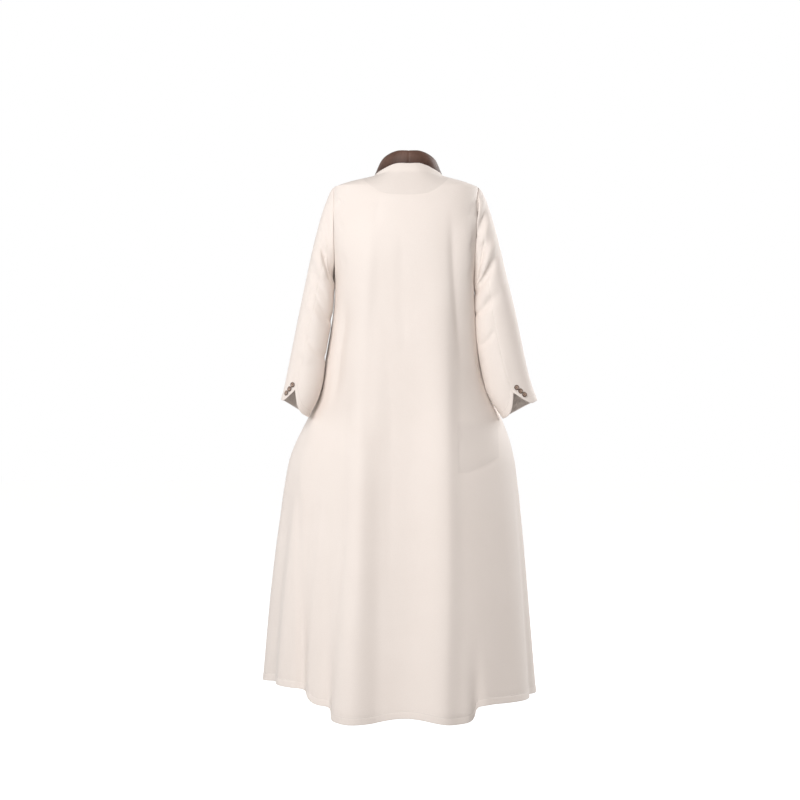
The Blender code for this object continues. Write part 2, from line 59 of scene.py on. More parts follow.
# The body's surface, as in the CAD
NECK_HALF_WIDTH = 87.0
NECK_WALL_SLOPE = 0.35
SHOULDER_LEVEL = -39.0
UNDERARM_LEVEL = -291.0
ARMHOLE_TOP_X = {1: 194.0, -1: 181.0}
ARMHOLE_FOOT_X = {1: 189.0, -1: 165.0}
ARMHOLE_DEPTH_SHARE = 0.52
SURFACE_TOP = 30.0
SURFACE_SEARCH_FOOT = -160.0
HALVINGS = 26
OPENING_AT_NECK = 6.0
OPENING_AT_HEM = 35.0
OPENING_HALVINGS = 16
NECK_ROUNDNESS = 2.0
SHOULDER_ROUNDNESS = 2.3
SHOULDER_STEPS = 6
ARMHOLE_STEPS = 9
SKIRT_STEPS = 16
UNDERARM_ROW = SHOULDER_STEPS + ARMHOLE_STEPS
TRUNK_STEPS = UNDERARM_ROW + SKIRT_STEPS
HEM_START = TRUNK_STEPS - 0.5
SEAM_BLEND = 4.0
HEM_LEVEL = -1345.0

# level, centre x, centre y, depth behind, depth in front, roundness
RINGS = np.array([
    (30, 0, 0, 52, 58, 2.2), (13, 0, 0, 58, 59, 2.2), (0, 0, 0, 64, 61, 2.3), (-39, 6.5, 0, 83, 73, 2.3),
    (-80, 7.5, -1, 99, 84, 2.4), (-165, 9.5, -3, 119, 108, 2.6), (-291, 12, -6, 123, 113, 3.1),
    (-340, 13, -14, 132, 106, 3.0), (-408, 14, -24, 146, 98, 2.6), (-500, 14, -33, 164, 95, 2.4),
    (-634, 10, -36, 188, 109, 2.3), (-746, 17, -16, 194, 150, 2.3), (-900, 20, -9, 221, 184, 2.3),
    (-1100, 23, -5, 260, 225, 2.3), (-1345, 23, 0, 300, 272, 2.3),
])

# level, half width
WIDTHS = np.array([
    (-291, 177), (-310, 178), (-340, 179), (-380, 183), (-460, 197), (-540, 214), (-590, 229), (-634, 250),
    (-665, 264), (-700, 278), (-746, 291), (-800, 299), (-850, 305), (-1058, 325), (-1345, 346),
])

# row, half width at the shoulder seam, level at centre back, level at centre front
SHOULDER_ROWS = np.array([
    (0, 87, 13, -75), (1, 101, -26, -90), (2, 116, -69, -105), (3, 134, -88, -118), (4, 152, -104, -130),
    (5, 170, -118, -141), (6, 187.5, -130, -151),
])

# azimuth from centre back, level of the hem
HEM = np.array([
    (-180, -1338), (-135, -1338), (-90, -1345), (-75, -1340), (-50, -1335), (-31, -1336), (-28, -1362),
    (-18, -1369), (-2, -1354), (10, -1364), (23, -1358), (26, -1338), (34, -1326), (42, -1303), (52, -1297),
    (68, -1299), (90, -1312), (135, -1334), (180, -1338),
])

# azimuth above and at the hem, level it starts at, half widths towards left and right, height, growth
SKIRT_FOLDS = [
    (15.5, 14.5, -300, 16, 9, 13, 1.0), (26, 26, -1000, 6, 6, -12, 1.5), (34, 34, -900, 8, 8, 5, 1.5),
    (42, 43, -760, 6, 6, -14, 1.4), (54, 55, -560, 12, 12, 12, 1.2), (68, 70, -600, 12, 12, -12, 1.2),
    (84, 86, -600, 15, 15, 10, 1.2), (-30, -29.5, -1150, 6, 6, -10, 1.5), (-60, -60, -760, 14, 12, 7, 1.3),
    (-76, -78, -700, 10, 10, -12, 1.2), (-90, -92, -600, 14, 14, 8, 1.2), (106, 108, -480, 13, 13, -22, 1.25),
    (126, 128, -420, 13, 13, 22, 1.25), (144, 147, -520, 11, 11, -20, 1.25),
    (163, 166, -460, 12, 12, 14, 1.25), (-108, -110, -460, 13, 13, -20, 1.25),
    (-128, -131, -440, 13, 13, 24, 1.25), (-146, -150, -540, 11, 11, -18, 1.25),
    (-165, -167, -480, 11, 11, 13, 1.25),
]

# azimuth and level at the top, azimuth and level at the foot, half width, height
BODY_FOLDS = [(131, -170, 128, -620, 12, 8), (-129, -170, -127, -620, 12, 8)]

# by side: share of length, outer x and level, inner x and level, centre y, half depth, hind seam's angle
SLEEVES = {1: np.array([
    (0.0, 194, -39, 189, -291, -3, 62, 90), (0.10, 212, -75, 189.5, -293, 2, 62, 90),
    (0.20, 228, -125, 190, -296, 7, 61, 90), (0.32, 246, -198, 190.5, -300, 14, 60, 89),
    (0.45, 261, -270, 191, -307, 22, 58, 88), (0.60, 277, -350, 196, -378, 31, 56, 84),
    (0.74, 292, -428, 210, -457, 39, 54, 79), (0.87, 308, -510, 219, -540, 45, 52, 75),
    (0.94, 316, -550, 232, -587, 48, 51, 73), (1.0, 325, -588, 256, -633, 50, 50, 72),
]), -1: np.array([
    (0.0, 181, -39, 165, -291, -3, 62, 90), (0.10, 200, -72, 165.5, -293, 2, 61, 92),
    (0.20, 216, -122, 166, -296, 7, 59, 94), (0.32, 235, -195, 166.5, -300, 14, 56, 97),
    (0.45, 252, -270, 167, -310, 21, 53, 98), (0.60, 271, -350, 170, -382, 28, 49, 97),
    (0.74, 287, -428, 178, -463, 33, 46, 94), (0.87, 304, -510, 196, -553, 37, 43, 90),
    (0.94, 315, -550, 212, -592, 39, 41, 88), (1.0, 329, -590, 242, -637, 40, 40, 87),
])}
FORE_SEAM = -92.0
ARMHOLE_BLEND = 0.3

# by side: share and angle from, share and angle to, half width in share, height
SLEEVE_FOLDS = {1: [
    (0.22, 60, 0.36, 150, 0.07, -5), (0.40, 40, 0.52, 130, 0.06, -5), (0.56, 60, 0.62, 150, 0.05, -4),
    (0.46, -150, 0.56, -40, 0.06, -4),
], -1: [
    (0.16, 70, 0.30, 160, 0.06, -5), (0.30, 50, 0.44, 160, 0.07, -6), (0.52, 60, 0.58, 160, 0.05, -4),
    (0.46, -150, 0.56, -40, 0.06, -4),
]}
SLEEVE_LENGTH = 450.0
LEAST_RADIUS = 30.0
NOTCH_DEPTH = 26.0
NOTCH_ANGLE_TOP = 42.0
NOTCH_ANGLE_UNDER = 66.0
NOTCH_CURVE_TOP = 1.7
NOTCH_CURVE_UNDER = 2.7

# turn from centre back, lean of the collar inwards
COLLAR_LEANS = np.array([(0, 10), (90, 24), (180, 12)])
COLLAR_HEIGHT = 36.0

# turn from centre back, drop of the neck edge below the even one
NECK_DROPS = np.array([
    (0, -2), (18, -1.5), (32, 3.5), (45, 8.5), (60, 10.5), (75, 9), (90, 6.5), (120, 2.5), (150, 0.5),
    (180, 0),
])
NECK_DROP_ROWS = 5.0


def mix(low, high, share):
    return low + (high - low) * share


def ease(share):
    share = np.clip(share, 0.0, 1.0)
    return share * share * (3 - 2 * share)


def signed_power(value, power):
    return np.sign(value) * np.abs(value) ** power


def finer(count, extra):
    """Shares from 0 to 1 in even steps, with extra ones beside a seam."""
    return np.sort(np.append(np.linspace(0, 1, count + 1), extra))


def read(table, at):
    """The table's other columns at values of its first one, on smooth curves through the rows."""
    if table[0, 0] > table[-1, 0]:
        table = table[::-1]
    keys, values = table[:, 0], table[:, 1:]
    count = len(keys)
    before = np.maximum(np.arange(count) - 1, 0)
    after = np.minimum(np.arange(count) + 1, count - 1)
    slopes = (values[after] - values[before]) / (keys[after] - keys[before])[:, None]
    at = np.clip(np.asarray(at, float), keys[0], keys[-1])
    index = np.clip(np.searchsorted(keys, at, side="right") - 1, 0, count - 2)
    span = (keys[index + 1] - keys[index])[..., None]
    t = (at - keys[index])[..., None] / span
    start, end = slopes[index] * span, slopes[index + 1] * span
    rise = values[index + 1] - values[index]
    curve = start + t * (3 * rise - 2 * start - end + t * (start + end - 2 * rise))
    return np.moveaxis(values[index] + t * curve, -1, 0)


def by_side(values, side):
    return np.where(side > 0, values[1], values[-1])


def armhole_share(level):
    middle = (SHOULDER_LEVEL + UNDERARM_LEVEL) / 2
    half_height = (SHOULDER_LEVEL - UNDERARM_LEVEL) / 2
    away = (level - middle) / half_height
    return ARMHOLE_DEPTH_SHARE * np.sqrt(np.maximum(1 - away * away, 0.0))


def armhole_half_width(level, side):
    share = (level - SHOULDER_LEVEL) / (UNDERARM_LEVEL - SHOULDER_LEVEL)
    seam_x = mix(by_side(ARMHOLE_TOP_X, side), by_side(ARMHOLE_FOOT_X, side), share)
    return seam_x - side * read(RINGS, level)[0]


def half_width(level, side):
    """Half width of the ring at a level; beside an armhole, that of the ring its cloth would close."""
    neck = NECK_HALF_WIDTH - NECK_WALL_SLOPE * level
    shoulder = mix(NECK_HALF_WIDTH, armhole_half_width(SHOULDER_LEVEL, side), level / SHOULDER_LEVEL)
    roundness = read(RINGS, level)[4]
    beside = armhole_half_width(level, side) / (1 - armhole_share(level) ** roundness) ** (1 / roundness)
    below = read(WIDTHS, level)[0]
    chosen = np.where(level > UNDERARM_LEVEL, beside, below)
    chosen = np.where(level > SHOULDER_LEVEL, shoulder, chosen)
    return np.where(level >= 0, neck, chosen)


def turned(azimuth):
    return (azimuth + 180) % 360 - 180


def bump(away):
    """A round rise of height 1 that is gone at a distance of 1."""
    return np.where(np.abs(away) < 1, np.cos(np.pi / 2 * np.clip(away, -1, 1)) ** 2, 0.0)


def fold_height(level, azimuth):
    total = np.zeros(np.broadcast(level, azimuth).shape)
    for high, low, start, left_width, right_width, height, growth in SKIRT_FOLDS:
        grown = np.maximum((start - level) / (start - HEM_LEVEL), 0)
        away = turned(azimuth - mix(high, low, grown))
        total += height * grown**growth * bump(away / np.where(away > 0, left_width, right_width))
    for high, top, low, foot, width, height in BODY_FOLDS:
        share = np.clip((level - top) / (foot - top), 0, 1)
        total += height * np.sin(np.pi * share) * bump(turned(azimuth - mix(high, low, share)) / width)
    return total


def body_point(level, azimuth):
    side = np.where(azimuth >= 0, 1, -1)
    centre_x, centre_y, back_depth, front_depth, roundness = read(RINGS, level)
    sine, cosine = np.sin(np.radians(azimuth)), np.cos(np.radians(azimuth))
    wide = half_width(level, side)
    deep = np.where(cosine >= 0, back_depth, front_depth)
    across, along = signed_power(sine, 2 / roundness), signed_power(cosine, 2 / roundness)
    out_x, out_y = across / wide, along / deep
    height = fold_height(level, azimuth) / np.hypot(out_x, out_y)
    x = centre_x + wide * across + out_x * height
    y = centre_y + deep * along + out_y * height
    return np.stack(np.broadcast_arrays(x, y, level), -1)


def level_at(x, y, side):
    """Level at which the cloth over the shoulders passes through a point seen from above."""
    high = np.full(np.broadcast(x, y).shape, SURFACE_TOP)
    low = np.full(high.shape, SURFACE_SEARCH_FOOT)
    for _ in range(HALVINGS):
        level = (high + low) / 2
        centre_x, centre_y, back_depth, front_depth, roundness = read(RINGS, level)
        deep = np.where(y >= centre_y, back_depth, front_depth)
        across = np.abs((x - centre_x) / half_width(level, side)) ** roundness
        along = np.abs((y - centre_y) / deep) ** roundness
        outside = across + along > 1
        high = np.where(outside, level, high)
        low = np.where(outside, low, level)
    return (high + low) / 2


def shoulder_point(row, share, side, face):
    seam_half_width, back_level, front_level = read(SHOULDER_ROWS, row)
    middle_level = back_level if face > 0 else front_level
    roundness = mix(NECK_ROUNDNESS, SHOULDER_ROUNDNESS, row / SHOULDER_STEPS)
    centre_x = read(RINGS, level_at(side * seam_half_width, 0 * share, side))[0]
    middle = read(RINGS, middle_level)
    deep = middle[2] + middle[1] if face > 0 else middle[3] - middle[1]
    angle = share * np.pi / 2
    x = centre_x + side * seam_half_width * signed_power(np.sin(angle), 2 / roundness)
    y = face * deep * np.abs(np.cos(angle)) ** (2 / roundness)
    return np.stack(np.broadcast_arrays(x, y, level_at(x, y, side)), -1)


def full_azimuth(azimuth, side, face):
    return side * (azimuth if face > 0 else 180 - azimuth)


def armhole_row_point(row, share, side, face):
    turn = np.pi * row / ARMHOLE_STEPS
    edge_level = mix(UNDERARM_LEVEL, SHOULDER_LEVEL, (1 + np.cos(turn)) / 2)
    start = SHOULDER_ROWS[-1, 2 if face > 0 else 3]
    middle_level = mix(start, UNDERARM_LEVEL, row / ARMHOLE_STEPS)
    level = mix(edge_level, middle_level, np.maximum(np.cos(np.pi / 2 * share), 0.0))
    reach = (1 - armhole_share(level) ** read(RINGS, level)[4]) ** 0.5
    return body_point(level, full_azimuth(share * np.degrees(np.arcsin(reach)), side, face))


def skirt_point(row, share, side, face):
    azimuth = full_azimuth(share * 90, side, face)
    hem = read(HEM, turned(azimuth))[0]
    return body_point(mix(UNDERARM_LEVEL, hem, row / SKIRT_STEPS), azimuth)


def trunk_point(row, share, side, face):
    """Points of a back or front panel. row runs from 0 at the neck edge to 31 at the hem."""
    row, share, side = (np.array(a, float) for a in np.broadcast_arrays(row, share, side))
    points = np.zeros((*row.shape, 3))
    over = row < SHOULDER_STEPS
    below = row >= UNDERARM_ROW
    beside = ~over & ~below
    points[over] = shoulder_point(row[over], share[over], side[over], face)
    turn = 90 * share[over] if face > 0 else 180 - 90 * share[over]
    points[over, 2] -= read(NECK_DROPS, turn)[0] * (1 - ease(row[over] / NECK_DROP_ROWS))
    points[beside] = armhole_row_point(row[beside] - SHOULDER_STEPS, share[beside], side[beside], face)
    step = shoulder_point(0 * row[beside] + SHOULDER_STEPS, share[beside], side[beside], face)
    step -= armhole_row_point(0 * row[beside], share[beside], side[beside], face)
    points[beside] += step * (1 - ease((row[beside] - SHOULDER_STEPS) / SEAM_BLEND))[:, None]
    points[below] = skirt_point(row[below] - UNDERARM_ROW, share[below], side[below], face)
    points[..., 1] += face * SEAM_GAP / 2 * (share >= 1)
    return points


def opening_share(row, side):
    """Share of the front's width at which its free edge lies, half the opening's width from the middle."""
    half_gap = mix(OPENING_AT_NECK, OPENING_AT_HEM, row / TRUNK_STEPS)
    middle_x = trunk_point(row, 0 * row, side, -1)[..., 0]
    low, high = np.zeros(row.shape), np.ones(row.shape)
    for _ in range(OPENING_HALVINGS):
        share = (low + high) / 2
        inside = np.abs(trunk_point(row, share, side, -1)[..., 0] - middle_x) < half_gap
        low = np.where(inside, share, low)
        high = np.where(inside, high, share)
    return (low + high) / 2


def trunk_rows(over, beside, below, hem):
    """Rows of a fine panel, with extra ones just above the hem."""
    return np.concatenate([
        np.linspace(0, SHOULDER_STEPS, over, endpoint=False),
        np.linspace(SHOULDER_STEPS, UNDERARM_ROW, beside, endpoint=False),
        np.linspace(UNDERARM_ROW, HEM_START, below, endpoint=False),
        np.linspace(HEM_START, TRUNK_STEPS, hem + 1),
    ])


def sleeve_fold_height(side, share, angle):
    total = np.zeros(np.broadcast(share, angle).shape)
    angle = turned(angle)
    for share_from, angle_from, share_to, angle_to, width, height in SLEEVE_FOLDS[side]:
        along = np.clip((angle - angle_from) / (angle_to - angle_from), 0, 1)
        middle = mix(share_from, share_to, along)
        total += height * np.sin(np.pi * along) * bump((share - middle) / width)
    return total


def sleeve_point(side, share, angle):
    """Points of a sleeve. angle is 0 on its outer line, 90 behind and 180 on its inner line."""
    outer_x, outer_level, inner_x, inner_level, centre_y, half_depth, _ = read(SLEEVES[side], share)
    sine, cosine = np.sin(np.radians(angle)), np.cos(np.radians(angle))
    reach_x, reach_z = (outer_x - inner_x) / 2, (outer_level - inner_level) / 2
    armhole = read(RINGS, mix(UNDERARM_LEVEL, SHOULDER_LEVEL, (1 + cosine) / 2))
    deep = np.where(sine >= 0, armhole[2], armhole[3])
    armhole_y = armhole[1] + deep * ARMHOLE_DEPTH_SHARE * sine
    own_y = centre_y + half_depth * sine
    spoke = np.stack([reach_x * cosine, half_depth * sine, reach_z * cosine], -1)
    length = np.linalg.norm(spoke, axis=-1)
    height = sleeve_fold_height(side, share, angle) / length
    x = (outer_x + inner_x) / 2 + spoke[..., 0] * (1 + height)
    y = mix(armhole_y, own_y, ease(share / ARMHOLE_BLEND)) + spoke[..., 1] * height
    z = (outer_level + inner_level) / 2 + spoke[..., 2] * (1 + height)
    return np.stack([side * (x + ARMHOLE_GAP), y, z], -1)


def cuff_share(side, angle):
    seam = SLEEVES[side][-1, 7]
    reach = np.where(angle < seam, NOTCH_ANGLE_TOP, NOTCH_ANGLE_UNDER)
    away = np.minimum(np.abs(angle - seam) / reach, 1)
    curve = np.where(angle < seam, NOTCH_CURVE_TOP, NOTCH_CURVE_UNDER)
    return 1 - NOTCH_DEPTH / SLEEVE_LENGTH * (1 - away) ** curve


def unit(steps):
    return steps / np.maximum(np.linalg.norm(steps, axis=-1, keepdims=True), TINY)


def directions(grid):
    """Unit steps across and down a grid, and its unit normals."""
    across, down = unit(np.gradient(grid, axis=1)), unit(np.gradient(grid, axis=0))
    return across, down, unit(np.cross(across, down))


def distances(grid):
    """Distance along each row from its first column, and along each column up from the last row."""
    steps = np.linalg.norm(np.diff(grid, axis=1), axis=-1)
    across = np.pad(np.cumsum(steps, axis=1), ((0, 0), (1, 0)))
    steps = np.linalg.norm(np.diff(grid, axis=0), axis=-1)[::-1]
    up = np.pad(np.cumsum(steps, axis=0), ((1, 0), (0, 0)))[::-1]
    return across, up


RIM_STEPS = 3


def new_mesh(name, verts, faces):
    mesh = bpy.data.meshes.new(name)
    mesh.from_pydata(verts, [], faces)
    mesh.shade_smooth()
    return mesh


def shell_mesh(name, grid, wall, outward, cut):
    """A sheet of cloth with a rounded edge. cut holds each point's place on the flat cloth."""
    rows, columns = grid.shape[:2]
    total = rows * columns
    number = np.arange(total).reshape(rows, columns)
    ring = np.concatenate([number[0], number[1:, -1], number[-1, -2::-1], number[-2:0:-1, 0]])
    ring_row, ring_column = np.divmod(ring, columns)
    across, down, normal = (a.reshape(-1, 3) for a in directions(grid))
    points, normal, places = grid.reshape(-1, 3), normal * outward, cut.reshape(-1, 2)
    out = across[ring] * (1.0 * (ring_column == columns - 1) - (ring_column == 0))[:, None]
    out += down[ring] * (1.0 * (ring_row == rows - 1) - (ring_row == 0))[:, None]
    out = unit(out)
    verts = [points + normal * wall / 2, points - normal * wall / 2]
    uvs = [places, places]
    for step in range(1, RIM_STEPS):
        turn = math.pi * step / RIM_STEPS
        verts.append(points[ring] + (out * math.sin(turn) + normal[ring] * math.cos(turn)) * wall / 2)
        uvs.append(places[ring])
    corner = number[:-1, :-1].ravel()
    quad = np.stack([corner, corner + columns, corner + columns + 1, corner + 1], -1)
    faces = [quad if outward > 0 else quad[:, ::-1]]
    faces.append(faces[0][:, ::-1] + total)
    rims = [2 * total + index * len(ring) + np.arange(len(ring)) for index in range(RIM_STEPS - 1)]
    loops = [ring, *rims, ring + total]
    for one, other in zip(loops, loops[1:]):
        strip = np.stack([one, np.roll(one, -1), np.roll(other, -1), other], -1)
        faces.append(strip if outward > 0 else strip[:, ::-1])
    mesh = new_mesh(name, (np.concatenate(verts) * MM).tolist(), np.concatenate(faces).tolist())
    corners = np.empty(len(mesh.loops), np.int32)
    mesh.loops.foreach_get("vertex_index", corners)
    flat = (np.concatenate(uvs) * MM)[corners].astype(np.float32)
    mesh.uv_layers.new(name="cut").data.foreach_set("uv", flat.ravel())
    return mesh


def line_distance(points, x, z):
    """Signed distance from a line in the plane of x and z, and the share of its length there."""
    line = np.asarray(points, float)
    lengths = np.linalg.norm(np.diff(line, axis=0), axis=1)
    start = np.concatenate([[0], np.cumsum(lengths)])
    best = np.full(x.shape, np.inf)
    side = np.ones(x.shape)
    share = np.zeros(x.shape)
    for index, length in enumerate(lengths):
        way = (line[index + 1] - line[index]) / length
        dx, dz = x - line[index, 0], z - line[index, 1]
        along = np.clip(dx * way[0] + dz * way[1], 0, length)
        away = np.hypot(dx - along * way[0], dz - along * way[1])
        nearer = away < best
        best = np.where(nearer, away, best)
        side = np.where(nearer, np.sign(way[0] * dz - way[1] * dx), side)
        share = np.where(nearer, (start[index] + along) / start[-1], share)
    return best * side, share


def smooth_line(points):
    """More points on a smooth curve through a few."""
    line = np.asarray(points, float)
    if len(line) < 3:
        return line
    table = np.concatenate([np.arange(len(line))[:, None], line], axis=1)
    return np.stack(read(table, np.linspace(0, len(line) - 1, 4 * len(line) - 3)), -1)


def crease_height(creases, x, z):
    """Height of the fine folds at points that are x across and z up."""
    total = np.zeros(x.shape)
    for height, width_left, width_right, fade_in, fade_out, *points in creases:
        away, share = line_distance(smooth_line(points), x, z)
        width = np.where(away > 0, width_left, width_right)
        strength = ease(share / fade_in) if fade_in else 1.0
        strength = strength * (ease((1 - share) / fade_out) if fade_out else 1.0)
        total += height * strength * np.exp(-((away / width) ** 2))
    return total


RIDGE_LEVELS = (-489, -640, -788, -933, -1076, -1194, -1370)
LEFT_RIDGE = [*zip((93, 108, 117, 119, 120, 124, 128, 135, 141), (-110, -337, *RIDGE_LEVELS))]
RIGHT_RIDGE = [*zip((-84, -86, -87, -88, -90, -91, -89, -85, -79), (-100, -338, *RIDGE_LEVELS))]

# Fine folds of the back: height, widths left and right of its line as it runs, shares of that line's length
# where it fades in and out, and the line's points of x and level
BACK_CREASES = [
    # the long ridge left of the middle, sharp on its right
    (5.6, 36, 19, 0.15, 0, *LEFT_RIDGE),
    (20, 50, 72, 0.9, 0, *LEFT_RIDGE),
    (4, 30, 33, 0.8, 0, *LEFT_RIDGE),
    (-3, 9, 9, 0.5, 0, (149, -489), (155, -665), (156, -838), (160, -984), (168, -1127), (178, -1291),
     (184, -1370)),
    (-1.5, 9, 11, 0.25, 0.25, (22, -150), (19, -237), (17, -338), (12, -489)),
    (-1.2, 9, 11, 0.25, 0.25, (42, -560), (46, -700), (48, -900), (50, -1100)),
    # the long ridge right of the middle, with its fall
    (6.2, 46, 25, 0.4, 0, *RIGHT_RIDGE),
    (5, 50, 28, 0.5, 0, *RIGHT_RIDGE),
    (13, 60, 80, 0.6, 0, *RIGHT_RIDGE),
    (-3.5, 10, 12, 0.3, 0.4, (-108, -90), (-112, -250), (-117, -337), (-124, -450), (-130, -540)),
    (6, 20, 12, 0.2, 0.35, (-149, -100), (-151, -250), (-158, -337), (-168, -450), (-178, -560)),
    # side folds of the skirt
    (-3.5, 11, 9, 0.2, 0, (288, -743), (280, -843), (275, -940), (270, -1036), (263, -1156), (257, -1370)),
    (2.5, 12, 12, 0.2, 0.2, (321, -897), (328, -998), (334, -1098), (342, -1199), (346, -1287)),
    # bodice folds that run from the armholes
    (-5, 9, 13, 0.3, 0.35, (160, -310), (162, -386), (173, -462), (180, -526), (192, -590), (204, -641)),
    (3, 10, 12, 0.3, 0.3, (178, -320), (184, -400), (196, -470), (210, -545), (228, -610)),
    (-3, 8, 10, 0.4, 0.3, (-158, -360), (-166, -440), (-182, -520), (-200, -600)),
    # a short one below the left shoulder
    (-1.3, 8, 10, 0.3, 0.6, (70, -68), (78, -100), (90, -160)),
    # puckers at the armhole seams
    (-2.4, 5, 7, 0.3, 0.5, (178, -66), (172, -88), (162, -112)),
    (-1.8, 5, 7, 0.3, 0.5, (176, -132), (170, -152), (163, -172)),
    (-1.3, 5, 7, 0.3, 0.5, (172, -210), (166, -232), (160, -262)),
    (-1.5, 5, 7, 0.3, 0.5, (-166, -82), (-160, -104), (-152, -130)),
    (-1.2, 5, 7, 0.3, 0.5, (-162, -170), (-156, -196), (-148, -226)),
    (-1.2, 5, 7, 0.3, 0.5, (-158, -240), (-152, -262), (-146, -296)),
    # edges of the neck facing and of the pocket bag underneath
    (-0.9, 2.4, 2.4, 0.1, 0.1, (114, -27), (101, -42), (86, -53), (60, -62), (22, -67), (2, -70), (-41, -65),
     (-67, -53), (-85, -39)),
    (-1.2, 5, 5, 0.15, 0.1, (-121, -690), (-121, -728), (-120, -747), (-128, -767), (-140, -772),
     (-173, -765), (-204, -753), (-226, -737)),
]

# The same for the fronts
FRONT_CREASES = {1: [
    (6, 34, 18, 0.2, 0, (72, -150), (80, -340), (86, -560), (94, -800), (106, -1100), (116, -1360)),
    (-4, 14, 20, 0.3, 0, (106, -230), (116, -400), (126, -640), (142, -900), (160, -1360)),
    (5, 22, 18, 0.3, 0, (150, -420), (164, -640), (188, -900), (212, -1360)),
    (-5, 10, 13, 0.3, 0.3, (164, -312), (174, -420), (194, -540), (216, -640)),
    (-3, 8, 10, 0.4, 0, (262, -760), (268, -940), (276, -1150), (280, -1360)),
    (-2.5, 9, 10, 0.3, 0.5, (176, -90), (166, -118), (152, -150)),
    (-3, 7, 8, 0.3, 0.5, (170, -190), (158, -220), (142, -252)),
    (-2, 6, 7, 0.3, 0.5, (168, -250), (156, -284), (138, -320)),
], -1: [
    (6, 18, 34, 0.2, 0, (-54, -150), (-62, -340), (-66, -560), (-74, -800), (-84, -1100), (-92, -1360)),
    (-4, 20, 14, 0.3, 0, (-90, -210), (-98, -400), (-106, -640), (-120, -900), (-136, -1360)),
    (5, 18, 24, 0.3, 0, (-134, -460), (-148, -660), (-168, -920), (-190, -1360)),
    (-5, 13, 10, 0.3, 0.3, (-148, -312), (-158, -420), (-176, -540), (-198, -640)),
    (-3, 10, 8, 0.4, 0, (-236, -800), (-242, -960), (-250, -1160), (-256, -1360)),
    (-2.5, 10, 9, 0.3, 0.5, (-160, -86), (-152, -112), (-138, -142)),
    (-3, 8, 7, 0.3, 0.5, (-154, -180), (-144, -214), (-130, -250)),
    (-2, 7, 6, 0.3, 0.5, (-150, -246), (-140, -280), (-124, -316)),
]}

# The same for the sleeves, seen from behind
SLEEVE_CREASES = {1: [
    (-5.9, 7, 12, 0.45, 0, (238, -168), (226, -196), (212, -228), (200, -256), (188, -280)),
    (4, 9, 9, 0.35, 0.25, (250, -196), (238, -226), (222, -256), (206, -286)),
    (-4.6, 7, 11, 0.45, 0, (248, -290), (238, -318), (224, -348), (208, -372), (196, -388)),
    (3.3, 10, 10, 0.4, 0.3, (262, -320), (250, -352), (234, -384), (218, -408)),
    (-4, 7, 11, 0.4, 0, (266, -400), (256, -436), (240, -462), (214, -482)),
    (2.6, 10, 10, 0.4, 0.3, (276, -452), (262, -478), (244, -500)),
    (-2, 8, 8, 0.4, 0.3, (204, -110), (208, -150), (206, -200)),
], -1: [
    (4, 9, 8, 0.2, 0.3, (-190, -70), (-184, -96), (-176, -128)),
    (-5.3, 7, 9, 0.25, 0, (-200, -100), (-190, -124), (-178, -158), (-170, -176)),
    (3.3, 8, 9, 0.3, 0.2, (-214, -110), (-204, -140), (-192, -176), (-182, -200)),
    (-4.6, 8, 12, 0.3, 0, (-240, -176), (-226, -214), (-210, -252), (-190, -292), (-172, -312)),
    (3.3, 10, 12, 0.3, 0.2, (-226, -170), (-212, -206), (-196, -246), (-180, -276)),
    (-4, 7, 9, 0.5, 0, (-214, -318), (-200, -344), (-184, -362), (-172, -370)),
    (-3.3, 7, 9, 0.5, 0, (-222, -400), (-208, -428), (-190, -446)),
    (2, 10, 12, 0.4, 0.3, (-238, -470), (-246, -520), (-252, -560)),
]}


def new_object(name, data):
    thing = bpy.data.objects.new(name, data)
    bpy.context.scene.collection.objects.link(thing)
    return thing


def new_piece(name, mesh, material, node=None):
    piece = new_object(name, mesh)
    mesh.materials.append(material)
    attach(piece, "root")
    if node:
        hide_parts(node)
    return piece


